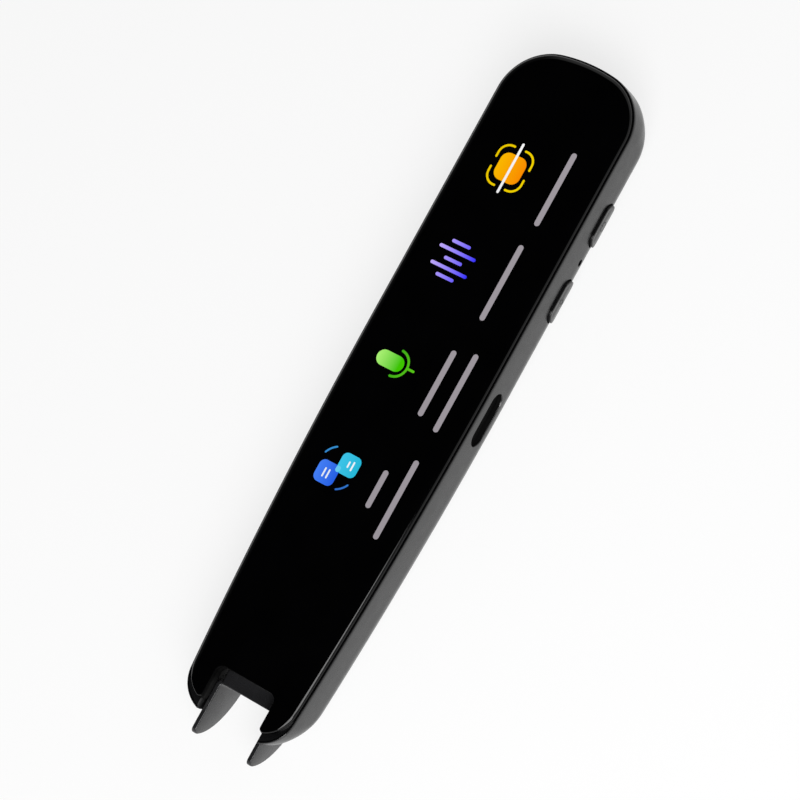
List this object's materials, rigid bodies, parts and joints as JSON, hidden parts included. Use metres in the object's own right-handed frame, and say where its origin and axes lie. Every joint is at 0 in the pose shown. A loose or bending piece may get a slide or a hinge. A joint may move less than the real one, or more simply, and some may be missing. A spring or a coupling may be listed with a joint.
{
  "type": "handheld translator",
  "caption": "Slim pen-shaped translator with a long glass front, moulded back with a finned speaker grille, side buttons and a forked scan hood that slides in at the tip.",
  "frame": {"origin": "on the flat back that the translator lies on, midway across the case and about midway along it", "axes": "X runs across the case with the buttons on +X, Y runs along it from the scan tip to the socket end, Z rises from the flat back to the front glass"},
  "size_m": [0.0305, 0.1481, 0.0144],
  "materials": {
    "shell_plastic": "fine satin moulding",
    "front_glass": "black-backed polished cover glass",
    "frame_plastic": "black fine texture",
    "display_glass": "dark glass, matt edge",
    "hood_plastic": "satin moulding",
    "button_plastic": "satin moulding with a printed mark",
    "window_clear": "clear polished",
    "bright_steel": "stamped and plated",
    "screw_steel": "blackened",
    "spring_steel": "bright drawn wire",
    "board_green": "solder mask",
    "chip_black": "moulded package",
    "pouch_foil": "foil pouch",
    "black_tape": "foam and adhesive",
    "mesh_black": "fine woven mesh",
    "socket_plastic": "moulded",
    "lens_glass": "coated optical glass",
    "lamp_lens": "cast lens",
    "flex_amber": "polyimide film",
    "copper_foil": "foil under film"
  },
  "bodies": {
    "housing": {"rear_shell": "shell_plastic", "front_glass": "front_glass", "mid_frame": "frame_plastic", "display_panel": "display_glass", "display_flex": "flex_amber", "main_board": "board_green", "io_board": "board_green", "switch_board": "board_green", "lamp_board": "board_green", "shield_can": "bright_steel", "processor": "chip_black", "card_socket": "bright_steel", "usb_c_port": "bright_steel", "audio_jack": "socket_plastic", "battery": "pouch_foil", "battery_pad": "black_tape", "speaker": "chip_black", "speaker_gasket": "black_tape", "speaker_mesh": "mesh_black", "side_switches": "socket_plastic", "microphone": "bright_steel", "hood_springs": "spring_steel", "scan_carrier": "frame_plastic", "camera_module": "chip_black", "camera_lens": "lens_glass", "scan_lamps": "lamp_lens", "tip_switch": "socket_plastic", "case_screws": "screw_steel", "board_screws": "screw_steel", "wifi_antenna": "copper_foil"},
    "power_button": {"power_button": "button_plastic", "power_plunger": "socket_plastic"},
    "voice_button": {"voice_button": "button_plastic", "voice_plunger": "socket_plastic"},
    "hood": {"scan_hood": "hood_plastic", "scan_window": "window_clear", "guide_pins": "bright_steel"}
  },
  "joints": [
    {"name": "power_press", "type": "slide", "parent": "housing", "child": "power_button", "axis": [-1, 0, 0], "range_m": [0, 0.0003], "stiffness_N_per_m": 2000, "springref_m": -0.0002},
    {"name": "voice_press", "type": "slide", "parent": "housing", "child": "voice_button", "axis": [-1, 0, 0], "range_m": [0, 0.0003], "stiffness_N_per_m": 2000, "springref_m": -0.0002},
    {"name": "hood_press", "type": "slide", "parent": "housing", "child": "hood", "axis": [0, 1, 0], "range_m": [0, 0.0012], "stiffness_N_per_m": 600, "springref_m": -0.0008, "deforming": ["hood_springs"]}
  ]
}
